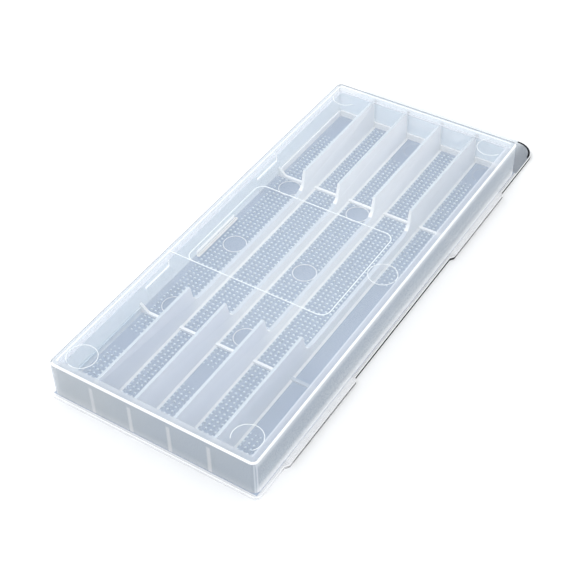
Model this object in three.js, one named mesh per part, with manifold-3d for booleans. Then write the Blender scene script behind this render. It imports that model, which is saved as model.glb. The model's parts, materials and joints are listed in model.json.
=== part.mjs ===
// Flat storage case with five long lanes: a base tray with dividers, and a deep cover hinged on a long side.
// Millimetres. +Y runs along the case to the hang tab, +X points to the hinge side, +Z is up.
// The origin is on the resting face, under the middle of the closed case.
import * as THREE from 'three';
import { mergeVertices } from 'three/addons/utils/BufferGeometryUtils.js';
import Module from 'manifold-3d';

const wasm = await Module();
wasm.setup();

// ---- driving dimensions -------------------------------------------------
const CASE_LENGTH = 200;          // outside of the cover along Y
const CASE_WIDTH = 87.4;          // outside of the cover along X
const CASE_HEIGHT = 17.4;         // resting face to the top of the closed cover
const GAP = 0.3;                  // clearance between separate solids

const PLATE_THICKNESS = 1.4;
const FLANGE = 1.1;               // how far the base plate stands out past the cover walls
const PLATE_CORNER_RADIUS = 2.5;

const HANG_TAB_REACH = 21.5;      // from the cover's far wall to the tab's free edge
const HANG_TAB_CORNER_RADIUS = 9;
const HANG_SLOT_LENGTH = 30;
const HANG_SLOT_WIDTH = 8;
const HANG_SLOT_MARGIN = 10.5;    // slot centre to the tab's free edge

const WALL = 1.2;                 // cover side walls
const LID_THICKNESS = 1.4;
const COVER_CORNER_RADIUS = 2.5;

const RIM_THICKNESS = 0.7;          // low upstand that locates the cover walls
const RIM_HEIGHT = 2.4;

const LANE_COUNT = 5;
const LANE_PITCH = 16.6;
const DIVIDER_THICKNESS = 1.4;
const DIVIDER_TALL = 15.3;        // top of a divider near the ends of the case
const DIVIDER_KNEE = 9.2;         // foot of the steep step
const DIVIDER_LOW = 6.3;          // top of a divider in the finger scoop
const SCOOP_END_Y = { near: -41.5, far: 40.0 };
const SCOOP_STEP_RUN = 1.2;
const SCOOP_RAMP_RUN = 5.8;
const DIVIDER_TIP_CHAMFER = 1.2;

const CROSS_RIB_Y = { near: -50.2, far: 47.0 };
const CROSS_RIB_THICKNESS = 1.2;
const CROSS_RIB_HEIGHT = 0.8;
const GUSSET_HEIGHT = 3.9;
const GUSSET_RUN = 3.6;

const SNAP_ARM_Y = 38.5;
const SNAP_ARM_LENGTH = 15;
const SNAP_ARM_THICKNESS = 1;
const SNAP_ARM_TOP = 9.4;
const SNAP_ARM_CLEARANCE = 0.7;   // room for the cover wall to swing past the arm
const SNAP_WINDOW_HEIGHT = 1.2;
const SNAP_WINDOW_BOTTOM = 9;

const LATCH_SLOT_LENGTH = 28;
const LATCH_SLOT_WIDTH = 1.6;
const LATCH_TONGUE_THICKNESS = 1;
const LATCH_TONGUE_TOP = 4;
const LATCH_TONGUE_BOTTOM = 0.5;
const LATCH_END_CLEARANCE = 0.8;

const HINGE_CENTRE_Y = 61.1;      // middle of each hinge, both ways from the middle of the case
const HINGE_LENGTH = 47.6;
const HINGE_AXIS_REACH = 2.8;     // from the cover's hinge-side wall out to the hinge axis
const HINGE_TAB_SLANT = 1.6;
const HINGE_BEAD_RADIUS = 0.3;
const HINGE_LEAF_THICKNESS = 0.9;
const HINGE_EDGE_CLEARANCE = 0.5; // from the leaves' edges to the hinge axis
const ARC_SEGMENTS = 8;

// ---- places worked out from the driving dimensions ----------------------
const halfLength = CASE_LENGTH / 2;
const halfWidth = CASE_WIDTH / 2;
const coverBottom = PLATE_THICKNESS + GAP;
const insideX = halfWidth - WALL;
const insideY = halfLength - WALL;
const standingZ = PLATE_THICKNESS + GAP;
const rimOuterX = insideX - GAP;
const rimOuterY = insideY - GAP;
const rimInnerX = rimOuterX - RIM_THICKNESS;
const rimInnerY = rimOuterY - RIM_THICKNESS;
const hingeAxisX = halfWidth + HINGE_AXIS_REACH;
const hingeAxisZ = PLATE_THICKNESS + GAP / 2;
const leafEdgeX = hingeAxisX - HINGE_EDGE_CLEARANCE;
const sideSigns = { near: -1, far: 1 };

// ---- materials ----------------------------------------------------------
function frostedPlastic(color, roughness) {
  return new THREE.MeshStandardMaterial({ color, roughness, metalness: 0 });
}

// ---- geometry helpers ---------------------------------------------------
// A rectangle whose corners are rounded by the radius given for its -Y and its +Y side.
function roundedRectangle(target, x0, y0, x1, y1, lowRadius, highRadius) {
  target.moveTo(x0 + lowRadius, y0);
  target.lineTo(x1 - lowRadius, y0);
  target.absarc(x1 - lowRadius, y0 + lowRadius, lowRadius, -Math.PI / 2, 0);
  target.lineTo(x1, y1 - highRadius);
  target.absarc(x1 - highRadius, y1 - highRadius, highRadius, 0, Math.PI / 2);
  target.lineTo(x0 + highRadius, y1);
  target.absarc(x0 + highRadius, y1 - highRadius, highRadius, Math.PI / 2, Math.PI);
  target.lineTo(x0, y0 + lowRadius);
  target.absarc(x0 + lowRadius, y0 + lowRadius, lowRadius, Math.PI, 1.5 * Math.PI);
  return target;
}

function extrude(shape, depth) {
  const settings = { depth, bevelEnabled: false, curveSegments: ARC_SEGMENTS };
  return new THREE.ExtrudeGeometry(shape, settings);
}

function boxBetween(low, high) {
  const size = high.map((value, i) => value - low[i]);
  const geometry = new THREE.BoxGeometry(...size);
  return geometry.translate(...low.map((value, i) => value + size[i] / 2));
}

function toSolid(geometry) {
  const bare = geometry.clone();
  bare.deleteAttribute('normal');
  bare.deleteAttribute('uv');
  const merged = mergeVertices(bare);
  const vertProperties = new Float32Array(merged.attributes.position.array);
  const triVerts = new Uint32Array(merged.index.array);
  return new wasm.Manifold(new wasm.Mesh({ numProp: 3, vertProperties, triVerts }));
}

function toGeometry(solid) {
  const mesh = solid.getMesh();
  const geometry = new THREE.BufferGeometry();
  geometry.setAttribute('position', new THREE.BufferAttribute(new Float32Array(mesh.vertProperties), 3));
  geometry.setIndex(new THREE.BufferAttribute(new Uint32Array(mesh.triVerts), 1));
  geometry.computeVertexNormals();
  return geometry;
}

function addMesh(group, name, geometry, color, roughness = 0.45) {
  const mesh = new THREE.Mesh(geometry, frostedPlastic(color, roughness));
  mesh.name = name;
  group.add(mesh);
  return mesh;
}

// ---- base tray ----------------------------------------------------------
// The plate runs out to a flange all round, to the hang tab at the far end, and to two hinge tabs.
function basePlateGeometry() {
  const edgeX = halfWidth + FLANGE;
  const nearY = -halfLength - FLANGE;
  const farY = halfLength + HANG_TAB_REACH;
  const near = PLATE_CORNER_RADIUS;
  const far = HANG_TAB_CORNER_RADIUS;
  const shape = new THREE.Shape();
  shape.moveTo(-edgeX + near, nearY);
  shape.lineTo(edgeX - near, nearY);
  shape.absarc(edgeX - near, nearY + near, near, -Math.PI / 2, 0);
  for (const sign of Object.values(sideSigns)) {
    const start = sign * HINGE_CENTRE_Y - HINGE_LENGTH / 2;
    const end = sign * HINGE_CENTRE_Y + HINGE_LENGTH / 2;
    shape.lineTo(edgeX, start);
    shape.lineTo(leafEdgeX, start + HINGE_TAB_SLANT);
    shape.lineTo(leafEdgeX, end - HINGE_TAB_SLANT);
    shape.lineTo(edgeX, end);
  }
  shape.lineTo(edgeX, farY - far);
  shape.absarc(edgeX - far, farY - far, far, 0, Math.PI / 2);
  shape.lineTo(-edgeX + far, farY);
  shape.absarc(-edgeX + far, farY - far, far, Math.PI / 2, Math.PI);
  shape.lineTo(-edgeX, nearY + near);
  shape.absarc(-edgeX + near, nearY + near, near, Math.PI, 1.5 * Math.PI);

  const slotY = farY - HANG_SLOT_MARGIN;
  const slotEnd = HANG_SLOT_WIDTH / 2;
  shape.holes.push(roundedRectangle(
    new THREE.Path(),
    -HANG_SLOT_LENGTH / 2, slotY - slotEnd, HANG_SLOT_LENGTH / 2, slotY + slotEnd,
    slotEnd, slotEnd,
  ));
  const latchEnd = LATCH_SLOT_WIDTH / 2;
  shape.holes.push(roundedRectangle(
    new THREE.Path(),
    -insideX, -LATCH_SLOT_LENGTH / 2, -insideX + LATCH_SLOT_WIDTH, LATCH_SLOT_LENGTH / 2,
    latchEnd, latchEnd,
  ));
  return extrude(shape, PLATE_THICKNESS);
}

// Low upstands stand just inside the cover walls; the latch side has none between the two cross ribs.
function addRims(group, color) {
  const top = standingZ + RIM_HEIGHT;
  for (const [end, sign] of Object.entries(sideSigns)) {
    const [y0, y1] = [sign * rimInnerY, sign * rimOuterY].sort((a, b) => a - b);
    addMesh(group, `rim_${end}_end`, boxBetween([-rimInnerX, y0, standingZ], [rimInnerX, y1, top]), color);
    const ribFace = CROSS_RIB_Y[end] + sign * (CROSS_RIB_THICKNESS / 2 + GAP);
    const [s0, s1] = [ribFace, sign * (rimInnerY - GAP)].sort((a, b) => a - b);
    const latchSide = boxBetween([-rimOuterX, s0, standingZ], [-rimInnerX, s1, top]);
    addMesh(group, `rim_latch_side_${end}`, latchSide, color);
  }
  const reach = rimInnerY - GAP;
  const hingeSide = boxBetween([rimInnerX, -reach, standingZ], [rimOuterX, reach, top]);
  addMesh(group, 'rim_hinge_side', hingeSide, color);
}

// A divider seen from the side: tall at both ends, low in the finger scoop, notched over the cross ribs.
function dividerGeometry() {
  const end = rimInnerY - GAP;
  const notchHalf = CROSS_RIB_THICKNESS / 2 + GAP;
  const notchTop = standingZ + CROSS_RIB_HEIGHT + GAP;
  const nearKneeY = SCOOP_END_Y.near + SCOOP_STEP_RUN;
  const farKneeY = SCOOP_END_Y.far - SCOOP_STEP_RUN;
  const shape = new THREE.Shape();
  shape.moveTo(-end, standingZ);
  for (const y of Object.values(CROSS_RIB_Y)) {
    shape.lineTo(y - notchHalf, standingZ);
    shape.lineTo(y - notchHalf, notchTop);
    shape.lineTo(y + notchHalf, notchTop);
    shape.lineTo(y + notchHalf, standingZ);
  }
  shape.lineTo(end, standingZ);
  shape.lineTo(end, DIVIDER_TALL - DIVIDER_TIP_CHAMFER);
  shape.lineTo(end - DIVIDER_TIP_CHAMFER, DIVIDER_TALL);
  shape.lineTo(SCOOP_END_Y.far, DIVIDER_TALL);
  shape.lineTo(farKneeY, DIVIDER_KNEE);
  shape.quadraticCurveTo(farKneeY - SCOOP_STEP_RUN, DIVIDER_LOW, farKneeY - SCOOP_RAMP_RUN, DIVIDER_LOW);
  shape.lineTo(nearKneeY + SCOOP_RAMP_RUN, DIVIDER_LOW);
  shape.quadraticCurveTo(nearKneeY + SCOOP_STEP_RUN, DIVIDER_LOW, nearKneeY, DIVIDER_KNEE);
  shape.lineTo(SCOOP_END_Y.near, DIVIDER_TALL);
  shape.lineTo(-end + DIVIDER_TIP_CHAMFER, DIVIDER_TALL);
  shape.lineTo(-end, DIVIDER_TALL - DIVIDER_TIP_CHAMFER);
  return extrude(shape, DIVIDER_THICKNESS);
}

function addDividers(group, color) {
  for (let i = 1; i < LANE_COUNT; i += 1) {
    const divider = addMesh(group, `divider_${i}`, dividerGeometry(), color);
    const x = (i - LANE_COUNT / 2) * LANE_PITCH;
    divider.rotation.set(Math.PI / 2, Math.PI / 2, 0);
    divider.position.x = x - DIVIDER_THICKNESS / 2;
  }
}

// A cross rib lies on the floor of every lane and climbs the latch side as a gusset.
function crossRibGeometry() {
  const low = standingZ;
  const high = low + CROSS_RIB_HEIGHT;
  const shape = new THREE.Shape();
  shape.moveTo(-rimOuterX, low);
  shape.lineTo(rimInnerX - GAP, low);
  shape.lineTo(rimInnerX - GAP, high);
  shape.lineTo(-rimOuterX + GUSSET_RUN, high);
  shape.lineTo(-rimOuterX, low + GUSSET_HEIGHT);
  return extrude(shape, CROSS_RIB_THICKNESS);
}

function addCrossRibs(group, color) {
  for (const [end, y] of Object.entries(CROSS_RIB_Y)) {
    const rib = addMesh(group, `cross_rib_${end}`, crossRibGeometry(), color);
    rib.rotation.x = Math.PI / 2;
    rib.position.y = y + CROSS_RIB_THICKNESS / 2;
  }
}

// Two upright arms stand behind the windows in the cover's latch-side wall.
function addSnapArms(group, color) {
  const x0 = -insideX + SNAP_ARM_CLEARANCE;
  for (const [end, sign] of Object.entries(sideSigns)) {
    const low = [x0, sign * SNAP_ARM_Y - SNAP_ARM_LENGTH / 2, standingZ];
    const high = [x0 + SNAP_ARM_THICKNESS, sign * SNAP_ARM_Y + SNAP_ARM_LENGTH / 2, SNAP_ARM_TOP];
    addMesh(group, `snap_arm_${end}`, boxBetween(low, high), color);
  }
}

// The flexing web of each hinge is a thin round bead on the hinge axis.
function addHingeBeads(group, color) {
  const length = HINGE_LENGTH - 2 * HINGE_TAB_SLANT;
  for (const [end, sign] of Object.entries(sideSigns)) {
    const geometry = new THREE.CylinderGeometry(HINGE_BEAD_RADIUS, HINGE_BEAD_RADIUS, length, 12);
    const bead = addMesh(group, `hinge_web_${end}`, geometry, color);
    bead.position.set(hingeAxisX, sign * HINGE_CENTRE_Y, hingeAxisZ);
  }
}

// ---- cover --------------------------------------------------------------
function snapWindow(sign) {
  const half = SNAP_ARM_LENGTH / 2;
  const endRadius = SNAP_WINDOW_HEIGHT / 2;
  const y = sign * SNAP_ARM_Y;
  const top = SNAP_WINDOW_BOTTOM + SNAP_WINDOW_HEIGHT;
  const outline = roundedRectangle(
    new THREE.Shape(), y - half, SNAP_WINDOW_BOTTOM, y + half, top, endRadius, endRadius);
  const depth = 3 * WALL;
  const cutter = extrude(outline, depth);
  const turn = new THREE.Matrix4().makeRotationFromEuler(new THREE.Euler(Math.PI / 2, Math.PI / 2, 0));
  cutter.applyMatrix4(turn);
  cutter.translate(-halfWidth - WALL, 0, 0);
  return toSolid(cutter);
}

function coverShellGeometry() {
  const radius = COVER_CORNER_RADIUS;
  const outerShape = roundedRectangle(
    new THREE.Shape(), -halfWidth, -halfLength, halfWidth, halfLength, radius, radius);
  const innerRadius = radius - WALL;
  const innerShape = roundedRectangle(
    new THREE.Shape(), -insideX, -insideY, insideX, insideY, innerRadius, innerRadius);
  const outer = extrude(outerShape, CASE_HEIGHT - coverBottom).translate(0, 0, coverBottom);
  const innerDepth = CASE_HEIGHT - LID_THICKNESS;
  const inner = extrude(innerShape, innerDepth);
  let shell = toSolid(outer).subtract(toSolid(inner));
  for (const sign of Object.values(sideSigns)) {
    shell = shell.subtract(snapWindow(sign));
  }
  return toGeometry(shell);
}

// Each hinge leaf stands out from the foot of the hinge-side wall, above the base plate's hinge tab.
function addHingeLeaves(group, color) {
  const x0 = halfWidth + GAP;
  const length = HINGE_LENGTH - 2 * HINGE_TAB_SLANT;
  for (const [end, sign] of Object.entries(sideSigns)) {
    const y0 = sign * HINGE_CENTRE_Y - length / 2;
    const low = [x0, y0, coverBottom];
    const high = [leafEdgeX, y0 + length, coverBottom + HINGE_LEAF_THICKNESS];
    addMesh(group, `hinge_leaf_${end}`, boxBetween(low, high), color);
  }
}

// The latch tongue hangs inside the latch-side wall and drops into the slot in the base plate.
function addLatchTongue(group, color) {
  const x0 = -insideX + GAP;
  const half = LATCH_SLOT_LENGTH / 2 - LATCH_END_CLEARANCE;
  const low = [x0, -half, LATCH_TONGUE_BOTTOM];
  const high = [x0 + LATCH_TONGUE_THICKNESS, half, LATCH_TONGUE_TOP];
  addMesh(group, 'latch_tongue', boxBetween(low, high), color);
}

// ---- assembly -----------------------------------------------------------
const baseColor = '#c9d4de';
const dividerColor = '#d3dbe6';
const coverColor = '#dbe4ec';
const trimColor = '#e6edf3';

const base = new THREE.Group();
addMesh(base, 'base_plate', basePlateGeometry(), baseColor);
addRims(base, baseColor);
addDividers(base, dividerColor);
addCrossRibs(base, trimColor);
addSnapArms(base, trimColor);
addHingeBeads(base, trimColor);

const cover = new THREE.Group();
addMesh(cover, 'cover_shell', coverShellGeometry(), coverColor, 0.35);
addHingeLeaves(cover, coverColor);
addLatchTongue(cover, trimColor);

const group = new THREE.Group();
group.add(base, cover);

export default group;
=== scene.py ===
import json
import math

import bmesh
import bpy
from mathutils import Matrix, Vector


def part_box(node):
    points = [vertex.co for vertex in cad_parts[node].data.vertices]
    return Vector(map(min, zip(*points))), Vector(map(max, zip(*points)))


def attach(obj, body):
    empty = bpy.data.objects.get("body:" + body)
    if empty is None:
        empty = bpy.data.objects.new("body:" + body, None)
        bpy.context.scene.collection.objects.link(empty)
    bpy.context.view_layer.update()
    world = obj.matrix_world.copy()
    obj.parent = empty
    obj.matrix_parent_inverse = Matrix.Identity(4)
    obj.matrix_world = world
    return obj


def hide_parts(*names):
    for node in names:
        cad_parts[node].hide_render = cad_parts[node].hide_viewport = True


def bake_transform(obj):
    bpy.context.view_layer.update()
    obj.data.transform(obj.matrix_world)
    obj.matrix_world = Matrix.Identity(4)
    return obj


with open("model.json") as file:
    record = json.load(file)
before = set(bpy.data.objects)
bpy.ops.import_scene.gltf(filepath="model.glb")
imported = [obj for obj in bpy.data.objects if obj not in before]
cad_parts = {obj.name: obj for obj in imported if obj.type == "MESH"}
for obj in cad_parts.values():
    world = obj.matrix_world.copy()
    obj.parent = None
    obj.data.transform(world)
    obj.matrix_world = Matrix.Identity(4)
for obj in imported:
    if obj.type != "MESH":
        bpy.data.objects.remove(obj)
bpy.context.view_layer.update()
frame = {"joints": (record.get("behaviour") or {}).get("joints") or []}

MM = 0.001
ENDS = {"near": -1, "far": 1}

# ---- places read from the frame, in millimetres --------------------------


def box_mm(node):
    low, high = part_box(node)
    return [v / MM for v in low], [v / MM for v in high]


def boxes_by_end(name):
    """The boxes of a node that each end has; the name has a {} where the end goes."""
    return {end: box_mm(name.format(end)) for end in ENDS}


plate_low, plate_high = box_mm("base_plate")
cover_low, cover_high = box_mm("cover_shell")
tongue_low, tongue_high = box_mm("latch_tongue")
rim_low, rim_high = box_mm("rim_hinge_side")
divider_high = box_mm("divider_4")[1]
web_high = box_mm("hinge_web_near")[1]
leaves = boxes_by_end("hinge_leaf_{}")
end_rims = boxes_by_end("rim_{}_end")
side_rims = boxes_by_end("rim_latch_side_{}")
ribs = boxes_by_end("cross_rib_{}")
arms = boxes_by_end("snap_arm_{}")
hinge = next(j for j in frame["joints"] if j["name"] == "cover_hinge")
hinge_x, hinge_z = hinge["pos_m"][0] / MM, hinge["pos_m"][2] / MM

# ---- sizes, in millimetres ------------------------------------------------
SEAT = 0.05                              # how far a fine feature is sunk into the face it stands on
SINK = 0.4                               # how far a standing feature is sunk into the plate
LAP = 0.3                                # how far joined features run into each other
RIM_LAP = 0.5
CUT_PAST = 1.0                           # how far a cutter reaches past what it cuts

FLOOR_Z = plate_high[2]
FOOT_BAND_TOP = 1.15                     # top of the plate's lower edge band
PLATE_EASE = (0.25, 0.2)                 # run and height of the plate's eased top edge
PLATE_CORNER = 2.5
TAB_CORNER = 9.0
HINGE_TAB_SLANT = 1.6
FLANGE_X = -plate_low[0]
NEAR_Y = plate_low[1]
FAR_Y = plate_high[1]
HANG_SLOT = (30.0, 8.0, FAR_Y - 10.5)    # length, width, centre along Y
LATCH_SLOT = (1.6, 28.0)                 # width, length
SLOT_CORNER_EASE = 0.01
TAB_SHADE_INSETS = (1.15, 0.45)
TAB_SHADE_HEIGHT = 0.08
LATCH_BEAD_SETBACK = 0.15
LATCH_BEAD_WIDTH = 1.4
LATCH_BEAD_WALL = 0.45
LATCH_BEAD_HEIGHT = 0.3
LATCH_BEAD_CORNERS = (0.2, 0.6)          # inside, outside

WALL = 1.2
LID = 1.4
COVER_CORNER = 2.5
INNER_CORNER = 1.3
FOOT_EASE = 0.15                         # the eased edges at the foot of the cover's walls
TOP_FILLET = 0.8
TOP_FILLET_STEPS = 5
EDGE_LINE = (1.75, 2.25)                 # the lid's line along its far and latch sides, in from the wall
INNER_FILLET = 2.7
INNER_FILLET_CORNER = 3.2
INNER_FILLET_STOPS = (90, 78, 58, 30, 0)  # degrees; the first band is a thin bright line
BEAD = 0.12                              # how far the lid's fine lines stand up
LID_TOP = cover_high[2] - BEAD
HALF_W = cover_high[0]
HALF_L = cover_high[1]
INNER_X = HALF_W - WALL
INNER_Y = HALF_L - WALL
TONGUE_TIP = 0.7                         # the latch tongue's opaque tip, above the floor
WINDOW_Z = (9.0, 10.1)
WINDOW_CORNER = 0.5
WINDOW_HOOK = (0.9, 2.6)                 # width and extra height of the hook at the far end
WINDOW_HOOK_ROOT = 0.4

LANES = 5
PITCH = 16.6
DIVIDER_X = [(i - LANES / 2) * PITCH for i in range(1, LANES)]
DIVIDER_TOP_HALF = 0.55
DIVIDER_FOOT_HALF = 0.95
DIVIDER_LOW = 6.3
DIVIDER_KNEE = 9.2
SCOOP_END = {"near": -41.5, "far": 40.0}
SCOOP_STEP = 1.2
SCOOP_RAMP = 5.8
SCOOP_SEGMENTS = 6
TIP_CHAMFER = 1.2
FOOT_STRIP = (1.75, 0.8)                 # half-width on the floor, height up the divider
FOOT_STRIP_START = -87.0
END_BEAD_PROUD = 0.2                     # the bead down each end of a divider
END_BEAD_DEPTH = 0.6
END_BEAD_WIDER = 0.1
TRAY_EDGE = 0.16
RIB_HEIGHT = 1.0
GUSSET_HEIGHT = 4.2
GUSSET_RUN = 3.6

DOT_PITCH = 2.07
DOT_COLUMNS = 7
DOT_RADIUS = 0.56
DOT_HEIGHT = 0.34
DOT_SIDES = 8
DOT_PROFILE = ((1.0, -SEAT), (0.82, 0.6 * DOT_HEIGHT), (0.42, DOT_HEIGHT))   # share of the radius, height
DOT_END_MARGIN = 3.6
DOT_RIB_CLEARANCE = 1.2
DOT_RING_CLEARANCE = 0.4
SMALLEST_DOT = 0.05
SMOOTH_RUNS = {0: [(-70, -62), (81, 97)], 2: [(-71, -62), (82, 97)], 4: [(-77, 9), (84, 97)]}   # by lane
DOT_FADE = 5.0
EJECTOR_RADIUS = 4.9
EJECTOR_RING = (0.28, 0.14)              # width, height
EJECTORS = [(x, y) for x in (-33.2, 0.0) for y in (-41.5, 0.0, 41.5)] + [(0.0, 91.5), (33.2, 91.5)]
LID_MARK_RADIUS = 5.8
LID_MARK_WIDTH = 0.24
LID_MARK_SEGMENTS = 36
LID_MARKS = ((-35.0, -91.4, -110, 240), (35.0, -91.4, -40, 215), (-35.0, 91.4, 200, 330),
             (35.0, 91.4, 120, 330), (34.6, 0.0, -10, 345))      # x, y, first and last angle
LABEL_FRAME = (-34.5, -30.8, 28.2, 21.3)
LABEL_CORNER = 4.0
LINE_WIDTH = 0.36
LINE_SETBACK = 0.4

STRAP_HALF = 0.12                        # half the thickness of a hinge strip
STRAP_RADIUS = 0.62
STRAP_LAP = 0.6
STRAP_BEND_STEPS = 10
STRAP_LENGTH_STEPS = 12

# ---- how polypropylene looks ----------------------------------------------
REFRACTION = 1.49
CLOUD_SCALE = 30.0
COLOR_SPREAD = 0.04
GRAIN_SCALE = 2600.0
GRAIN_DEPTH = 0.00004
ROUGHNESS_SPREAD = 0.06


def noise(nodes, links, place, scale, detail):
    texture = nodes.new("ShaderNodeTexNoise")
    texture.inputs["Scale"].default_value = scale
    texture.inputs["Detail"].default_value = detail
    links.new(place.outputs["Object"], texture.inputs["Vector"])
    return texture


def spread_round(nodes, links, factor, middle, spread):
    """A value that wanders round the middle with the factor."""
    ranged = nodes.new("ShaderNodeMapRange")
    ranged.inputs["To Min"].default_value = middle - spread
    ranged.inputs["To Max"].default_value = middle + spread
    links.new(factor, ranged.inputs["Value"])
    return ranged.outputs["Result"]


def smooth_step(nodes, links, value, start, end):
    step = nodes.new("ShaderNodeMapRange")
    step.interpolation_type = "SMOOTHSTEP"
    step.inputs["From Min"].default_value = start * MM
    step.inputs["From Max"].default_value = end * MM
    links.new(value, step.inputs["Value"])
    return step.outputs["Result"]


def place_mask(nodes, links, place, limits):
    """Multiplies smooth steps along the axes; |X and |Y stand for the distance from the middle."""
    split = nodes.new("ShaderNodeSeparateXYZ")
    links.new(place.outputs["Object"], split.inputs["Vector"])
    product = None
    for axis, start, end in limits:
        value = split.outputs[axis[-1]]
        if axis[0] == "|":
            size = nodes.new("ShaderNodeMath")
            size.operation = "ABSOLUTE"
            links.new(value, size.inputs[0])
            value = size.outputs[0]
        step = smooth_step(nodes, links, value, start, end)
        if product is None:
            product = step
        else:
            both = nodes.new("ShaderNodeMath")
            both.operation = "MULTIPLY"
            links.new(product, both.inputs[0])
            links.new(step, both.inputs[1])
            product = both.outputs[0]
    return product


def add_layer(nodes, links, mask, under, color, haze):
    """Lays a colour and haze over the ones under it where the mask is full."""
    under_color, under_haze = under
    tint = nodes.new("ShaderNodeMixRGB")
    tint.inputs["Color2"].default_value = (*color, 1.0)
    links.new(mask, tint.inputs["Fac"])
    links.new(under_color, tint.inputs["Color1"])
    fade = nodes.new("ShaderNodeMix")
    fade.inputs["B"].default_value = haze
    links.new(mask, fade.inputs["Factor"])
    links.new(under_haze, fade.inputs["A"])
    return tint.outputs["Color"], fade.outputs["Result"]


def add_satin(nodes, links, place, shader, roughness, grain):
    """A fine grain in both the roughness and the surface."""
    fine = noise(nodes, links, place, GRAIN_SCALE, 2.0)
    satin = spread_round(nodes, links, fine.outputs["Fac"], roughness, ROUGHNESS_SPREAD)
    links.new(satin, shader.inputs["Roughness"])
    bump = nodes.new("ShaderNodeBump")
    bump.inputs["Strength"].default_value = grain
    bump.inputs["Distance"].default_value = GRAIN_DEPTH
    links.new(fine.outputs["Fac"], bump.inputs["Height"])
    links.new(bump.outputs["Normal"], shader.inputs["Normal"])


def polypropylene(name, color, haze, roughness=0.28, spread=0.03, grain=0.1, gloss=0.35, layers=()):
    """Frosted polypropylene. Haze is how much of what lies behind a face is hidden by it.
    Each layer is (limits, color, haze) and changes the look where its limits are met."""
    mat = bpy.data.materials.new(name)
    mat.use_nodes = True
    nodes, links = mat.node_tree.nodes, mat.node_tree.links
    shader = nodes["Principled BSDF"]
    shader.inputs["IOR"].default_value = REFRACTION
    shader.inputs["Specular IOR Level"].default_value = gloss

    place = nodes.new("ShaderNodeTexCoord")
    cloud = noise(nodes, links, place, CLOUD_SCALE, 3.0)
    ramp = nodes.new("ShaderNodeValToRGB")
    dark, light = ramp.color_ramp.elements
    dark.color = (*[c * (1 - COLOR_SPREAD) for c in color], 1.0)
    light.color = (*[min(c * (1 + COLOR_SPREAD), 1.0) for c in color], 1.0)
    links.new(cloud.outputs["Fac"], ramp.inputs["Fac"])
    look = (ramp.outputs["Color"], spread_round(nodes, links, cloud.outputs["Fac"], haze, spread))
    for limits, layer_color, layer_haze in layers:
        mask = place_mask(nodes, links, place, limits)
        look = add_layer(nodes, links, mask, look, layer_color, layer_haze)
    links.new(look[0], shader.inputs["Base Color"])
    links.new(look[1], shader.inputs["Alpha"])
    add_satin(nodes, links, place, shader, roughness, grain)
    return mat


# ---- where layers lie: (axis, start, full), in millimetres ------------------
ON_NEAR_WALL = ("Y", 0.9 - HALF_L, 0.3 - HALF_L)
ON_FAR_WALL = ("Y", HALF_L - 0.9, HALF_L - 0.3)
ON_LATCH_WALL = ("X", 0.9 - HALF_W, 0.3 - HALF_W)
ON_HINGE_WALL = ("X", HALF_W - 0.8, HALF_W - 0.3)
INSIDE_FAR_WALL = ("Y", INNER_Y - 1.5, INNER_Y - 0.5)
INSIDE_LATCH_WALL = ("X", 0.5 - INNER_X, -INNER_X)
TOWARDS_LATCH = ("X", 10.0, -30.0)
LOW_ON_WALL = ("Z", 7.0, 2.0)
HIGH_ON_WALL = ("Z", 13.8, 16.8)
PAST_COVER_X = HALF_W + 0.02
PAST_COVER_Y = HALF_L + 0.02
SIDE_FLANGES = ("|X", PAST_COVER_X - 0.1, PAST_COVER_X)
NEAR_FLANGE = ("Y", 0.1 - PAST_COVER_Y, -PAST_COVER_Y)
HANG_TAB = ("Y", PAST_COVER_Y - 0.1, PAST_COVER_Y)
HINGE_SIDE_OF_TAB = ("X", 31.0, 40.0)
OUT_OF_SCOOP = ("|Y", SCOOP_END["far"] + 1.0, SCOOP_END["far"] - 1.0)
CONTACT_TOP = 14.2


def contact_mark(x):
    """The pale strip where a divider's end lies behind the near and far walls."""
    limits = [("X", x - 1.1, x - 0.4), ("X", x + 1.1, x + 0.4), ("|Y", HALF_L - 0.9, HALF_L - 0.6),
              ("Z", CONTACT_TOP + 1.0, CONTACT_TOP)]
    return limits, (0.58, 0.59, 0.61), 0.74


# ---- materials --------------------------------------------------------------
CLEAR_WHITE = (0.95, 0.95, 0.96)
PAINTED_SHADE_GREY = (0.16, 0.19, 0.23)

lid_plastic = polypropylene("lid_plastic", (0.86, 0.92, 0.98), 0.07, spread=0.02)
inner_plastic = polypropylene("inner_wall_plastic", (0.74, 0.81, 0.87), 0.60, layers=[
    ([INSIDE_FAR_WALL], (0.77, 0.85, 0.93), 0.64),
    ([INSIDE_LATCH_WALL], (0.72, 0.80, 0.87), 0.60)])
# Painted light and shade on the outer walls: dark grey-blue overall, the near wall lighter towards the
# latch side, the hinge wall dark through its middle and paler near its foot and top, the far and latch
# walls lighter. The contact marks are the dividers' ends showing through.
outer_wall_painted_shade = polypropylene("outer_wall_painted_shade_plastic", (0.38, 0.42, 0.47), 0.70, layers=[
    ([ON_NEAR_WALL, TOWARDS_LATCH], (0.43, 0.46, 0.49), 0.70),
    ([ON_HINGE_WALL, LOW_ON_WALL], (0.84, 0.85, 0.87), 0.45),
    ([ON_HINGE_WALL, HIGH_ON_WALL], (0.70, 0.73, 0.76), 0.64),
    ([ON_FAR_WALL], (0.86, 0.91, 0.96), 0.50),
    ([ON_LATCH_WALL], (0.66, 0.74, 0.82), 0.52)] + [contact_mark(x) for x in DIVIDER_X])
fillet_plastic = polypropylene("inner_fillet_plastic", (0.86, 0.88, 0.94), 0.45)
# Painted shade: a darker copy of the inner fillet for the near side.
near_fillet_painted_shade = polypropylene("near_fillet_painted_shade_plastic", (0.64, 0.68, 0.73), 0.60)
flange_plastic = polypropylene("flange_plastic", CLEAR_WHITE, 0.20)
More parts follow.
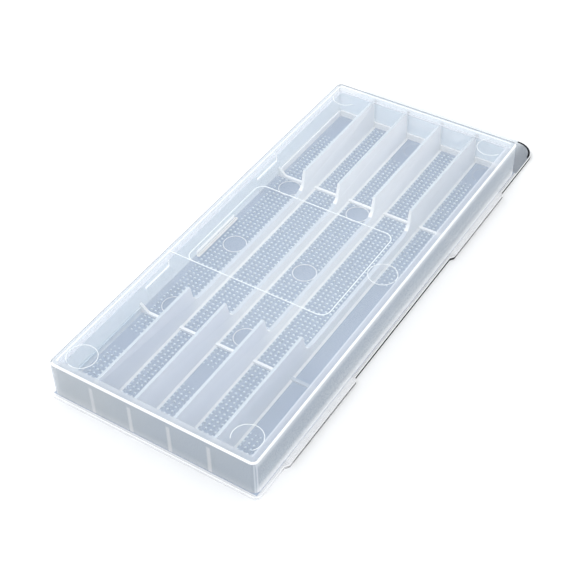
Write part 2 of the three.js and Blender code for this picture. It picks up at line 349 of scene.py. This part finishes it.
# The floor's dark blue-grey is partly the plate's own tint and partly painted shade of the table under the
# case; the dark grey on the hang tab's hinge-side corner is painted shade too.
floor_plastic_painted_shade = polypropylene("floor_plastic_painted_shade", (0.31, 0.39, 0.52), 0.72, layers=[
    ([SIDE_FLANGES], CLEAR_WHITE, 0.16),
    ([NEAR_FLANGE], CLEAR_WHITE, 0.16),
    ([HANG_TAB], (0.64, 0.75, 0.83), 0.30),
    ([HANG_TAB, HINGE_SIDE_OF_TAB], PAINTED_SHADE_GREY, 0.70)])
divider_plastic = polypropylene("divider_plastic", (0.82, 0.855, 0.92), 0.80, roughness=0.4, layers=[
    ([("Y", -46.0, -34.0)], (0.96, 0.98, 1.0), 0.82),
    ([("Y", 20.0, 60.0)], (0.94, 0.955, 0.98), 0.89)])
divider_top = polypropylene("divider_top_plastic", (0.67, 0.74, 0.80), 0.80, layers=[
    ([OUT_OF_SCOOP], (0.66, 0.72, 0.80), 0.74)])
# Painted highlight: near-white for the bright line along each divider's foot.
painted_highlight_foot_strip = polypropylene("painted_highlight_foot_strip", (0.99, 1.0, 1.0), 0.97)
rim_plastic = polypropylene("rim_plastic", (0.98, 0.99, 1.0), 0.92, layers=[
    ([("Y", -44.0, -58.0)], (0.66, 0.75, 0.83), 0.50)])
rib_plastic = polypropylene("rib_plastic", (0.96, 0.98, 1.0), 0.90, layers=[
    ([("X", 23.0, 26.0), ("Y", 0.0, -20.0)], (0.60, 0.68, 0.78), 0.55)])
strap_plastic = polypropylene("hinge_strap_plastic", CLEAR_WHITE, 0.08)
arm_plastic = polypropylene("snap_arm_plastic", (0.80, 0.84, 0.88), 0.10)
# Near-white edges: partly the whiter look of thick frosted edges, partly a painted highlight.
painted_highlight_edge = polypropylene("painted_highlight_edge_plastic", (0.96, 0.98, 1.0), 0.92, roughness=0.2)
edge_shade = polypropylene("shaded_edge_plastic", (0.26, 0.30, 0.36), 0.85, gloss=0.0)
# Painted shade: near-black for the thin dark line round the hang tab's corner.
painted_shade_line = polypropylene("painted_shade_line_plastic", (0.01, 0.01, 0.012), 0.93, gloss=0.0)
# Painted light: cream-white for the bright table seen through the latch slot, on the slot's rim and the
# tongue's tip.
painted_light_bar_plastic = polypropylene("latch_bar_painted_light_plastic", (1.0, 0.99, 0.96), 0.96)
dot_plastic = polypropylene("floor_dot_plastic", (0.82, 0.91, 1.0), 0.78, roughness=0.2)
line_plastic = polypropylene("fine_line_plastic", (0.90, 0.95, 1.0), 0.85)
ring_plastic = polypropylene("ejector_ring_plastic", (0.96, 0.98, 1.0), 0.80, layers=[
    ([("Y", 70.0, 85.0)], (0.80, 0.86, 0.93), 0.35)])
mark_plastic = polypropylene("round_mark_plastic", (0.93, 0.97, 1.0), 0.75)
soft_line = polypropylene("soft_line_plastic", (0.86, 0.90, 0.97), 0.55)
# The plate's lower edge band is nearly clear; the black along the hinge side is a painted shade line.
plate_foot_painted_shade = polypropylene("plate_foot_painted_shade_plastic", (0.75, 0.75, 0.75), 0.15, gloss=0.0, layers=[
    ([("X", HALF_W - 1.0, HALF_W - 0.2), ("Y", -90.0, -78.0)], (0.01, 0.01, 0.01), 0.97)])

# ---- mesh helpers, all in millimetres until the object is made ---------------
CORNER_SEGMENTS = 8
CORNER_POINTS = CORNER_SEGMENTS + 1


def arc(cx, cy, radius, start, end, segments=CORNER_SEGMENTS):
    angles = [math.radians(start + (end - start) * k / segments) for k in range(segments + 1)]
    return [(cx + radius * math.cos(a), cy + radius * math.sin(a)) for a in angles]


def circle(cx, cy, radius, count=48):
    return arc(cx, cy, radius, 0, 360, count)[:-1]


def rounded_rectangle(x0, y0, x1, y1, radius):
    corners = ((x1 - radius, y0 + radius, -90), (x1 - radius, y1 - radius, 0),
               (x0 + radius, y1 - radius, 90), (x0 + radius, y0 + radius, 180))
    return [point for cx, cy, start in corners for point in arc(cx, cy, radius, start, start + 90)]


def inset(outline, distance):
    """Moves each side of a counter-clockwise outline inwards by the distance."""
    count = len(outline)
    moved = []
    for k, (x, y) in enumerate(outline):
        before = Vector((x - outline[k - 1][0], y - outline[k - 1][1])).normalized()
        after = Vector((outline[(k + 1) % count][0] - x, outline[(k + 1) % count][1] - y)).normalized()
        inward = Vector((-before.y - after.y, before.x + after.x)).normalized()
        reach = distance / max(inward.dot(Vector((-after.y, after.x))), 0.5)
        moved.append((x + inward.x * reach, y + inward.y * reach))
    return moved


def make_object(name, bm, materials):
    bmesh.ops.recalc_face_normals(bm, faces=bm.faces)
    bmesh.ops.scale(bm, vec=(MM, MM, MM), verts=bm.verts)
    mesh = bpy.data.meshes.new(name)
    bm.to_mesh(mesh)
    bm.free()
    for mat in materials:
        mesh.materials.append(mat)
    obj = bpy.data.objects.new(name, mesh)
    bpy.context.scene.collection.objects.link(obj)
    return obj


def loft(bm, loops, material_of=lambda band, side: 0, caps=(0, 0)):
    """Joins closed loops of equal length and caps both ends."""
    rings = [[bm.verts.new(p) for p in loop] for loop in loops]
    count = len(rings[0])
    for band, (a, b) in enumerate(zip(rings, rings[1:])):
        for k in range(count):
            face = bm.faces.new((a[k], a[(k + 1) % count], b[(k + 1) % count], b[k]))
            face.material_index = material_of(band, k)
    for ring, index in zip((rings[0], rings[-1]), caps):
        bm.faces.new(ring).material_index = index


def ring_prism(bm, outline_in, outline_out, z0, z1):
    """A closed flat ring between two outlines with the same number of points."""
    levels = [[bm.verts.new((x, y, z)) for x, y in outline]
              for outline, z in ((outline_in, z0), (outline_out, z0), (outline_out, z1), (outline_in, z1))]
    count = len(outline_in)
    for a, b in zip(levels, levels[1:] + levels[:1]):
        for k in range(count):
            bm.faces.new((a[k], a[(k + 1) % count], b[(k + 1) % count], b[k]))


def band_between(bm, edge_in, edge_out, z0, z1):
    """A closed flat band along two open edges with the same number of points."""
    loft(bm, [[(*a, z0), (*b, z0), (*b, z1), (*a, z1)] for a, b in zip(edge_in, edge_out)])


def prism(name, outline, z0, z1, material):
    bm = bmesh.new()
    loft(bm, [[(x, y, z0) for x, y in outline], [(x, y, z1) for x, y in outline]])
    return make_object(name, bm, [material])


def slab(name, low, high, material):
    (x0, y0, z0), (x1, y1, z1) = low, high
    return prism(name, [(x0, y0), (x1, y0), (x1, y1), (x0, y1)], z0, z1, material)


def prism_along_x(name, profile, x0, x1, material):
    """A profile in Y and Z, drawn out from one X to the other."""
    bm = bmesh.new()
    loft(bm, [[(x, y, z) for y, z in profile] for x in (x0, x1)])
    return make_object(name, bm, [material])


def prism_along_y(name, profile, places, material):
    """A profile in X and Z, drawn out through each place along Y."""
    bm = bmesh.new()
    loft(bm, [[(x, y, z) for x, z in profile] for y in places])
    return make_object(name, bm, [material])


def drafted_wall(name, profile, half_at, x, material):
    """A profile in Y and Z, with a thickness along X that changes with height."""
    bm = bmesh.new()
    loft(bm, [[(x + side * half_at(z), y, z) for y, z in profile] for side in (-1, 1)])
    return make_object(name, bm, [material])


def paint_facing(obj, material, faces_it):
    """Gives another material to the faces whose normal passes the test."""
    obj.data.materials.append(material)
    for face in obj.data.polygons:
        if faces_it(face.normal):
            face.material_index = len(obj.data.materials) - 1


def apply_modifiers(obj):
    graph = bpy.context.evaluated_depsgraph_get()
    mesh = bpy.data.meshes.new_from_object(obj.evaluated_get(graph))
    obj.modifiers.clear()
    obj.data = mesh


def combine(obj, others, operation):
    for other in others:
        cut = obj.modifiers.new(operation.lower(), "BOOLEAN")
        cut.operation = operation
        cut.solver = "EXACT"
        cut.material_mode = "TRANSFER"
        cut.object = other
    apply_modifiers(obj)
    for other in others:
        bpy.data.objects.remove(other)


def ease_edges(obj, width, segments, material, angle=50):
    """Rounds every edge sharper than the angle and gives the new faces the material."""
    names = [m.name for m in obj.data.materials]
    if material.name not in names:
        obj.data.materials.append(material)
        names.append(material.name)
    bevel = obj.modifiers.new("eased_edges", "BEVEL")
    bevel.width = width * MM
    bevel.segments = segments
    bevel.limit_method = "ANGLE"
    bevel.angle_limit = math.radians(angle)
    bevel.material = names.index(material.name)
    apply_modifiers(obj)


def shade(obj, angle=35):
    obj.data.shade_smooth()
    obj.data.set_sharp_from_angle(angle=math.radians(angle))


def finish_piece(obj, body, nodes=()):
    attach(obj, body)
    if nodes:
        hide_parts(*nodes)


# ---- base tray ---------------------------------------------------------------


def plate_outline():
    """Counter-clockwise: a near corner, the hinge tabs, the hang tab's corners, the other near corner."""
    outline = arc(FLANGE_X - PLATE_CORNER, NEAR_Y + PLATE_CORNER, PLATE_CORNER, -90, 0)
    tab_x = plate_high[0]
    for low, high in leaves.values():
        outline += [(FLANGE_X, low[1] - HINGE_TAB_SLANT), (tab_x, low[1]),
                    (tab_x, high[1]), (FLANGE_X, high[1] + HINGE_TAB_SLANT)]
    outline += arc(FLANGE_X - TAB_CORNER, FAR_Y - TAB_CORNER, TAB_CORNER, 0, 90)
    outline += arc(-FLANGE_X + TAB_CORNER, FAR_Y - TAB_CORNER, TAB_CORNER, 90, 180)
    outline += arc(-FLANGE_X + PLATE_CORNER, NEAR_Y + PLATE_CORNER, PLATE_CORNER, 180, 270)
    return outline


HINGE_TAB_POINTS = 4
HANG_TAB_CORNER = slice(CORNER_POINTS + len(ENDS) * HINGE_TAB_POINTS,
                        2 * CORNER_POINTS + len(ENDS) * HINGE_TAB_POINTS)


def plate():
    outline = plate_outline()
    run, height = PLATE_EASE
    levels = [(0.0, plate_low[2]), (0.0, FOOT_BAND_TOP), (0.0, FLOOR_Z - height), (run, FLOOR_Z)]
    # The lower edge band carries the painted shade line, the bands above it the near-white painted
    # highlight.
    floor, foot, light, underside = range(4)
    bm = bmesh.new()
    loft(bm, [[(x, y, z) for x, y in inset(outline, step)] for step, z in levels],
         lambda band, side: (foot, light, light)[band], (underside, floor))
    return make_object("base_tray", bm, [floor_plastic_painted_shade, plate_foot_painted_shade, painted_highlight_edge, flange_plastic])


def plate_slots():
    """The hang tab's slot and the slot that the latch tongue drops into."""
    length, width, y = HANG_SLOT
    hang = rounded_rectangle(-length / 2, y - width / 2, length / 2, y + width / 2,
                             width / 2 - SLOT_CORNER_EASE)
    x0 = cover_low[0] + WALL
    slot_width, slot_length = LATCH_SLOT
    latch = rounded_rectangle(x0, -slot_length / 2, x0 + slot_width, slot_length / 2,
                              slot_width / 2 - SLOT_CORNER_EASE)
    # The slots' cut faces take the near-white edge material, a painted highlight.
    return [prism("slot", slot, plate_low[2] - CUT_PAST, FLOOR_Z + CUT_PAST, painted_highlight_edge)
            for slot in (hang, latch)]


def scoop_ramp(scoop):
    """Points from the knee down to the low middle; the scoop end is a distance from the case's middle."""
    knee = scoop - SCOOP_STEP
    points = []
    for k in range(SCOOP_SEGMENTS + 1):
        t = k / SCOOP_SEGMENTS
        y = (1 - t) ** 2 * knee + 2 * t * (1 - t) * (knee - SCOOP_STEP) + t * t * (knee - SCOOP_RAMP)
        z = (1 - t) ** 2 * DIVIDER_KNEE + (2 * t * (1 - t) + t * t) * DIVIDER_LOW
        points.append((y, z))
    return points


def divider_profile():
    end = divider_high[1] + LAP
    top = divider_high[2]
    halves = {}
    for name, sign in ENDS.items():
        scoop = SCOOP_END[name] * sign
        half = [(end, FLOOR_Z - SINK), (end, top - TIP_CHAMFER), (end - TIP_CHAMFER, top), (scoop, top)]
        halves[name] = [(sign * y, z) for y, z in half + scoop_ramp(scoop)]
    return halves["far"] + list(reversed(halves["near"]))


def divider_half(z):
    t = (z - FLOOR_Z) / (divider_high[2] - FLOOR_Z)
    return DIVIDER_FOOT_HALF + (DIVIDER_TOP_HALF - DIVIDER_FOOT_HALF) * t


def divider_wall(x):
    wall = drafted_wall("divider", divider_profile(), divider_half, x, divider_plastic)
    paint_facing(wall, divider_top, lambda normal: normal.z > 0.9)
    # The ramp and end faces take the near-white edge material, a painted highlight.
    paint_facing(wall, painted_highlight_edge, lambda normal: abs(normal.x) < 0.5 and normal.z <= 0.9)
    return wall


def foot_strip(x):
    """A strip along a divider's foot, painted near-white as a highlight."""
    half, height = FOOT_STRIP
    top_half = DIVIDER_FOOT_HALF - SEAT
    section = [(x - half, FLOOR_Z - 2 * SEAT), (x + half, FLOOR_Z - 2 * SEAT),
               (x + top_half, FLOOR_Z + height), (x - top_half, FLOOR_Z + height)]
    return prism_along_y("foot_strip", section, (FOOT_STRIP_START, divider_high[1]), painted_highlight_foot_strip)


def end_bead(x, sign):
    """A bright bead down one end of a divider; its brightness is partly a painted highlight."""
    outside = sign * (divider_high[1] + END_BEAD_PROUD)
    inside = sign * (divider_high[1] + END_BEAD_PROUD - END_BEAD_DEPTH)
    foot = FLOOR_Z - SINK
    top = divider_high[2] - TIP_CHAMFER - END_BEAD_PROUD
    profile = [(outside, foot), (outside, top), (inside, top), (inside, foot)]
    return drafted_wall("end_bead", profile, lambda z: divider_half(z) + END_BEAD_WIDER, x, painted_highlight_edge)


def cross_rib(low, high):
    """A low rib across every lane, with a gusset at the latch side."""
    foot, top = FLOOR_Z - SINK, FLOOR_Z + RIB_HEIGHT
    left, right = low[0], high[0] + LAP
    profile = [(left, foot), (right, foot), (right, top), (left + GUSSET_RUN, top),
               (left, FLOOR_Z + GUSSET_HEIGHT)]
    return prism_along_y("cross_rib", profile, (low[1], high[1]), rib_plastic)


def rim(low, high, lap=0.0):
    """A low upstand inside the cover's walls."""
    return slab("rim", (low[0], low[1] - lap, FLOOR_Z - SINK), (high[0], high[1] + lap, rim_high[2]),
                rim_plastic)


def base_tray():
    tray = plate()
    combine(tray, plate_slots(), "DIFFERENCE")
    added = [rim(rim_low, rim_high, RIM_LAP)]
    for x in DIVIDER_X:
        added += [divider_wall(x), foot_strip(x)] + [end_bead(x, sign) for sign in ENDS.values()]
    for end in ENDS:
        added += [cross_rib(*ribs[end]), rim(*end_rims[end]), rim(*side_rims[end])]
    combine(tray, added, "UNION")
    ease_edges(tray, TRAY_EDGE, 2, divider_top)
    shade(tray)
    standing = [f"divider_{i}" for i in range(1, LANES)] + ["base_plate", "rim_hinge_side"]
    for end in ENDS:
        standing += [f"rim_{end}_end", f"rim_latch_side_{end}", f"cross_rib_{end}"]
    tray.visible_shadow = False
    finish_piece(tray, "base", standing)


def snap_arms():
    for end, (low, high) in arms.items():
        arm = slab(f"snap_arm_{end}_clear", (*low[:2], FLOOR_Z - SEAT), high, arm_plastic)
        finish_piece(arm, "base", [f"snap_arm_{end}"])


def dot_size(lane, x, y):
    """The share of full size that the dot at this place has; the smooth marks and places have none."""
    if any(math.hypot(x - cx, y - cy) < EJECTOR_RADIUS + DOT_RING_CLEARANCE for cx, cy in EJECTORS):
        return 0.0
    size = 1.0
    for start, end in SMOOTH_RUNS.get(lane, ()):
        away = max(start - y, y - end)
        size = min(size, max(away / DOT_FADE, 0.0))
    return size


def add_dome(bm, x, y, size):
    rings = []
    for share, height in DOT_PROFILE:
        radius = DOT_RADIUS * share * (0.5 + 0.5 * size)
        rings.append([bm.verts.new((px, py, FLOOR_Z + height * size))
                      for px, py in circle(x, y, radius, DOT_SIDES)])
    for a, b in zip(rings, rings[1:]):
        for k in range(DOT_SIDES):
            bm.faces.new((a[k], a[(k + 1) % DOT_SIDES], b[(k + 1) % DOT_SIDES], b[k]))
    bm.faces.new(list(reversed(rings[0])))
    bm.faces.new(rings[-1])


def dot_rows():
    """The places of the rows along Y, leaving out those that the cross ribs cover."""
    rib_y = [(low[1] + high[1]) / 2 for low, high in ribs.values()]
    last_row = int((HALF_L - DOT_END_MARGIN) / DOT_PITCH)
    rows = [row * DOT_PITCH for row in range(-last_row, last_row + 1)]
    return [y for y in rows if min(abs(y - place) for place in rib_y) >= DOT_RIB_CLEARANCE]


def floor_dots():
    bm = bmesh.new()
    for lane in range(LANES):
        centre = (lane - (LANES - 1) / 2) * PITCH
        columns = [centre + (column - (DOT_COLUMNS - 1) / 2) * DOT_PITCH for column in range(DOT_COLUMNS)]
        for y in dot_rows():
            for x in columns:
                size = dot_size(lane, x, y)
                if size > SMALLEST_DOT:
                    add_dome(bm, x, y, size)
    dots = make_object("floor_dots", bm, [dot_plastic])
    dots.data.shade_smooth()
    finish_piece(dots, "base")


def floor_rings():
    """The thin rings round the ejector marks."""
    width, height = EJECTOR_RING
    bm = bmesh.new()
    for x, y in EJECTORS:
        ring_prism(bm, circle(x, y, EJECTOR_RADIUS - width), circle(x, y, EJECTOR_RADIUS),
                   FLOOR_Z - SEAT, FLOOR_Z + height)
    rings = make_object("floor_rings", bm, [ring_plastic])
    shade(rings)
    finish_piece(rings, "base")


def tab_corner_painted_shade():
    """A dark band painted as shade round the hang tab's corner on the hinge side."""
    inner, outer = [inset(plate_outline(), distance)[HANG_TAB_CORNER] for distance in TAB_SHADE_INSETS]
    bm = bmesh.new()
    band_between(bm, inner, outer, FLOOR_Z - SEAT, FLOOR_Z + TAB_SHADE_HEIGHT)
    bead = make_object("tab_corner_painted_shade", bm, [painted_shade_line])
    shade(bead)
    finish_piece(bead, "base")


def latch_bead():
    """The raised rim round the latch slot, painted cream-white as the light seen through the slot."""
    x0 = cover_low[0] + WALL + LATCH_BEAD_SETBACK
    x1 = x0 + LATCH_BEAD_WIDTH
    half = LATCH_SLOT[1] / 2
    wall = LATCH_BEAD_WALL
    inner_corner, outer_corner = LATCH_BEAD_CORNERS
    bm = bmesh.new()
    inner = rounded_rectangle(x0 + wall, -half + wall, x1 - wall, half - wall, inner_corner)
    outer = rounded_rectangle(x0, -half, x1, half, outer_corner)
    ring_prism(bm, inner, outer, FLOOR_Z - 2 * SEAT, FLOOR_Z + LATCH_BEAD_HEIGHT)
    bead = make_object("latch_slot_bead", bm, [painted_light_bar_plastic])
    shade(bead)
    finish_piece(bead, "base")


# ---- cover -------------------------------------------------------------------
LID_FACE, INNER, OUTER, FILLET, LINE, HIGHLIGHT, SHADE, NEAR_FILLET, SOFT_LINE = range(9)
COVER_MATERIALS = [lid_plastic, inner_plastic, outer_wall_painted_shade, fillet_plastic, line_plastic, painted_highlight_edge,
                   edge_shade, near_fillet_painted_shade, soft_line]
HINGE_SIDE, FAR_SIDE, LATCH_SIDE, NEAR_SIDE = range(4)
# Painted highlight and shade on the cover, chosen by side: the bright bands and pale corner lines stand in
# for highlights, the shaded bands and the darker near fillet for shade.
INSIDE_AND_FOOT = (INNER, HIGHLIGHT, HIGHLIGHT, HIGHLIGHT)
SHADED_TOP_EDGE = (SHADE, SHADE, SHADE, SHADE, LID_FACE, LID_FACE, LINE)
HIGHLIT_TOP_EDGE = (OUTER, HIGHLIGHT, HIGHLIGHT, HIGHLIGHT, HIGHLIGHT, LID_FACE, LID_FACE)
CORNER_HIGHLIGHT_LINES = {3: NEAR_FILLET, 5: FILLET}
CORNER_LINES = (CORNER_HIGHLIGHT_LINES, {0: SHADE, 1: SHADE, 2: FILLET}, CORNER_HIGHLIGHT_LINES,
                {3: SHADE, 4: SHADE, 5: SHADE, 6: FILLET})


def cover_loop(step, z, corner):
    outline = rounded_rectangle(-HALF_W + step, -HALF_L + step, HALF_W - step, HALF_L - step, corner)
    return [(x, y, z) for x, y in outline]


def inner_fillet_loops():
    """From the lid's underside, round the inside fillet, to the wall."""
    loops = []
    for stop in INNER_FILLET_STOPS:
        angle = math.radians(stop)
        step = WALL + INNER_FILLET * (1 - math.cos(angle))
        z = LID_TOP - LID - INNER_FILLET * (1 - math.sin(angle))
        loops.append(cover_loop(step, z, max(INNER_CORNER, INNER_FILLET_CORNER - step)))
    return loops


def foot_loops():
    """Round the foot of the walls, from the inside to the outside."""
    bottom = cover_low[2]
    return [cover_loop(WALL, bottom + FOOT_EASE, INNER_CORNER),
            cover_loop(WALL - FOOT_EASE, bottom, INNER_CORNER + FOOT_EASE),
            cover_loop(FOOT_EASE, bottom, COVER_CORNER - FOOT_EASE),
            cover_loop(0, bottom + FOOT_EASE, COVER_CORNER)]


def top_edge_loops():
    """Over the rounded top edge and on to both sides of the lid's line."""
    loops = []
    for k in range(TOP_FILLET_STEPS + 1):
        angle = math.pi / 2 * k / TOP_FILLET_STEPS
        step = TOP_FILLET * (1 - math.cos(angle))
        z = LID_TOP - TOP_FILLET * (1 - math.sin(angle))
        loops.append(cover_loop(step, z, COVER_CORNER - step))
    return loops + [cover_loop(step, LID_TOP, COVER_CORNER - TOP_FILLET) for step in EDGE_LINE]


def side_of(k):
    """The side a loop point belongs to; the corner points are shared out at the middle of each corner."""
    side, within = divmod(k, CORNER_POINTS)
    return side if within >= CORNER_SEGMENTS / 2 else (side - 1) % 4


def inner_fillet_look(band, k):
    """The fillet starts with a soft line on the hinge side, and is painted darker on the near side as
    shade.
    """
    hinge_side = SOFT_LINE if band == 0 else FILLET
    return {HINGE_SIDE: hinge_side, NEAR_SIDE: NEAR_FILLET}.get(side_of(k), FILLET)


def outside_corner_look(k):
    """The upright corners show painted highlight lines, and two opposite ones a painted shade line as well.
    """
    corner, within = divmod(k, CORNER_POINTS)
    return CORNER_LINES[corner].get(within, OUTER)


def top_edge_look(band, k):
    """The rounded top edge carries a painted highlight towards the hinge and the near end, and painted
    shade away from them.
    """
    edge = SHADED_TOP_EDGE if side_of(k) in (FAR_SIDE, LATCH_SIDE) else HIGHLIT_TOP_EDGE
    return edge[band]


def cover_look(band, k):
    """The bands run from the lid's underside down the inside, round the foot and up over the top edge."""
    fillet_bands = len(INNER_FILLET_STOPS) - 1
    outside = fillet_bands + len(INSIDE_AND_FOOT)
    if band < fillet_bands:
        return inner_fillet_look(band, k)
    if band < outside:
        return INSIDE_AND_FOOT[band - fillet_bands]
    if band == outside:
        return outside_corner_look(k)
    return top_edge_look(band - outside - 1, k)


def window_cutters():
    """Low windows in the latch-side wall, each with a hook at its far end."""
    hook_width, hook_height = WINDOW_HOOK
    z0, z1 = WINDOW_Z
    cutters = []
    for low, high in arms.values():
        y0, y1 = low[1], high[1]
        end = y1 + WINDOW_CORNER
        outline = [(y0, z0), (y1, z0), (end, z0 + WINDOW_CORNER), (end, z1 + hook_height),
                   (end - hook_width, z1 + hook_height), (end - hook_width, z1 + WINDOW_HOOK_ROOT),
                   (y1 - hook_width, z1), (y0, z1)]
        # The windows' cut faces take the near-white edge material, a painted highlight.
        cutters.append(prism_along_x("window", outline, -HALF_W - 2 * CUT_PAST, -INNER_X + CUT_PAST,
                                     painted_highlight_edge))
    return cutters


def latch_tongue():
    """A clear tongue on the latch-side wall, with an opaque tip painted cream-white as the light seen
    through the latch slot.
    """
    x, y, z = -INNER_X - LAP, tongue_low[1], FLOOR_Z + TONGUE_TIP
    return [slab("tongue_tip", (x, y, tongue_low[2]), (*tongue_high[:2], z), painted_light_bar_plastic),
            slab("tongue", (x, y, z), tongue_high, arm_plastic)]


def hinge_leaves():
    return [slab("leaf", (HALF_W - LAP, *low[1:]), high, flange_plastic) for low, high in leaves.values()]


def cover_shell():
    bm = bmesh.new()
    loops = inner_fillet_loops() + foot_loops() + top_edge_loops()
    loft(bm, loops, cover_look, (LID_FACE, LID_FACE))
    shell = make_object("cover_moulding", bm, COVER_MATERIALS)
    combine(shell, window_cutters(), "DIFFERENCE")
    combine(shell, latch_tongue() + hinge_leaves(), "UNION")
    shade(shell)
    shell.visible_shadow = False
    nodes = ["cover_shell", "latch_tongue"] + [f"hinge_leaf_{end}" for end in ENDS]
    finish_piece(shell, "cover", nodes)


def lid_lines(z0, z1):
    """The lid's rounded label frame and its run-out to the latch side."""
    x0, y0, x1, y1 = LABEL_FRAME
    outer = rounded_rectangle(x0, y0, x1, y1, LABEL_CORNER)
    inner = rounded_rectangle(x0 + LINE_WIDTH, y0 + LINE_WIDTH, x1 - LINE_WIDTH, y1 - LINE_WIDTH,
                              LABEL_CORNER - LINE_WIDTH)
    bm = bmesh.new()
    ring_prism(bm, inner, outer, z0, z1)
    lines = make_object("lid_lines", bm, [line_plastic])
    run_out = slab("run_out", (-HALF_W + TOP_FILLET + LINE_SETBACK, y0, z0),
                   (x0 + LABEL_CORNER, y0 + LINE_WIDTH, z1), line_plastic)
    combine(lines, [run_out], "UNION")
    return lines


def lid_round_marks(z0, z1):
    """The lid's open round marks."""
    bm = bmesh.new()
    for x, y, start, end in LID_MARKS:
        inner = arc(x, y, LID_MARK_RADIUS - LID_MARK_WIDTH, start, end, LID_MARK_SEGMENTS)
        outer = arc(x, y, LID_MARK_RADIUS, start, end, LID_MARK_SEGMENTS)
        band_between(bm, inner, outer, z0, z1)
    return make_object("lid_round_marks", bm, [mark_plastic])


def lid_beads():
    z0, z1 = LID_TOP - SEAT, cover_high[2]
    for piece in (lid_lines(z0, z1), lid_round_marks(z0, z1)):
        shade(piece)
        piece.visible_shadow = False
        finish_piece(piece, "cover")


# ---- hinges ------------------------------------------------------------------


def strap_spine():
    """From the base tab, out round the hinge axis, to the cover's leaf, in X and Z."""
    centre_x = web_high[0] - STRAP_HALF - STRAP_RADIUS
    leaf_x = leaves["near"][1][0]
    bend = arc(centre_x, hinge_z, STRAP_RADIUS, -90, 90, STRAP_BEND_STEPS)
    return [(plate_high[0] - STRAP_LAP, bend[0][1]), *bend, (leaf_x - STRAP_LAP, bend[-1][1])]


def thickened(spine, half):
    """A closed outline at the distance on both sides of an open line."""
    sides = {-1: [], 1: []}
    for k, (x, z) in enumerate(spine):
        ahead = spine[min(k + 1, len(spine) - 1)]
        back = spine[max(k - 1, 0)]
        run = Vector((ahead[0] - back[0], ahead[1] - back[1])).normalized()
        for side, edge in sides.items():
            edge.append((x - side * run.y * half, z + side * run.x * half))
    return sides[-1] + list(reversed(sides[1]))


def hinge_strap(end):
    """A thin web, curved round the hinge axis between the base tray and the cover."""
    low, high = leaves[end]
    places = [low[1] + (high[1] - low[1]) * k / STRAP_LENGTH_STEPS for k in range(STRAP_LENGTH_STEPS + 1)]
    strap = prism_along_y(f"hinge_strap_{end}", thickened(strap_spine(), STRAP_HALF), places, strap_plastic)
    shade(strap, 50)
    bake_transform(strap)
    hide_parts(f"hinge_web_{end}")


base_tray()
snap_arms()
floor_dots()
floor_rings()
tab_corner_painted_shade()
latch_bead()
cover_shell()
lid_beads()
for end in ENDS:
    hinge_strap(end)

# ---- camera, light and floor ---------------------------------------------------
CAMERA_AZIMUTH = math.radians(33.6)
CAMERA_ELEVATION = math.radians(43.66)
CAMERA_ROLL = math.radians(-1.67)
CAMERA_DISTANCE = 465 * MM
CAMERA_LENS = 76.75
CAMERA_TARGET = Vector((4.0, -18.1, 10.0)) * MM
STUDIO_REACH = 3.0                       # metres
STUDIO_DROP = 0.0002                     # metres, so that the floor and the plate's underside stay apart


def add_camera():
    forward = Vector((-math.sin(CAMERA_AZIMUTH) * math.cos(CAMERA_ELEVATION),
                      math.cos(CAMERA_AZIMUTH) * math.cos(CAMERA_ELEVATION),
                      -math.sin(CAMERA_ELEVATION)))
    level_right = forward.cross(Vector((0, 0, 1))).normalized()
    level_up = level_right.cross(forward)
    right = level_right * math.cos(CAMERA_ROLL) + level_up * math.sin(CAMERA_ROLL)
    up = right.cross(forward)
    data = bpy.data.cameras.new("camera")
    data.sensor_width = 36.0
    data.lens = CAMERA_LENS
    data.clip_start = 0.01
    camera = bpy.data.objects.new("camera", data)
    place = Matrix((right, up, -forward)).transposed().to_4x4()
    place.translation = CAMERA_TARGET - forward * CAMERA_DISTANCE
    camera.matrix_world = place
    bpy.context.scene.collection.objects.link(camera)
    bpy.context.scene.camera = camera


def add_softbox(name, place, target, size, power):
    data = bpy.data.lights.new(name, "AREA")
    data.shape = "RECTANGLE"
    data.size, data.size_y = size
    data.energy = power
    lamp = bpy.data.objects.new(name, data)
    lamp.location = place
    lamp.rotation_euler = (Vector(target) - Vector(place)).to_track_quat("-Z", "Y").to_euler()
    bpy.context.scene.collection.objects.link(lamp)


def floor_paint():
    mat = bpy.data.materials.new("studio_floor")
    mat.use_nodes = True
    shader = mat.node_tree.nodes["Principled BSDF"]
    shader.inputs["Base Color"].default_value = (0.93, 0.93, 0.93, 1)
    shader.inputs["Roughness"].default_value = 0.9
    shader.inputs["Specular IOR Level"].default_value = 0.1
    return mat


def add_floor():
    bm = bmesh.new()
    corners = [(x * STUDIO_REACH, y * STUDIO_REACH, 0) for x, y in ((-1, -1), (1, -1), (1, 1), (-1, 1))]
    bm.faces.new([bm.verts.new(corner) for corner in corners])
    mesh = bpy.data.meshes.new("studio_floor")
    bm.to_mesh(mesh)
    bm.free()
    mesh.materials.append(floor_paint())
    floor = bpy.data.objects.new("studio_floor", mesh)
    floor.location.z = -STUDIO_DROP
    bpy.context.scene.collection.objects.link(floor)


def add_world():
    world = bpy.data.worlds.new("studio")
    world.use_nodes = True
    background = world.node_tree.nodes["Background"]
    background.inputs["Color"].default_value = (0.97, 0.985, 1.0, 1)
    background.inputs["Strength"].default_value = 1.05
    bpy.context.scene.world = world


add_camera()
add_world()
add_floor()
add_softbox("key", (-0.95, -0.25, 1.05), (0, 0, 0), (0.9, 0.9), 7)
bpy.context.scene.view_settings.view_transform = "Standard"
bpy.context.scene.cycles.transparent_max_bounces = 64
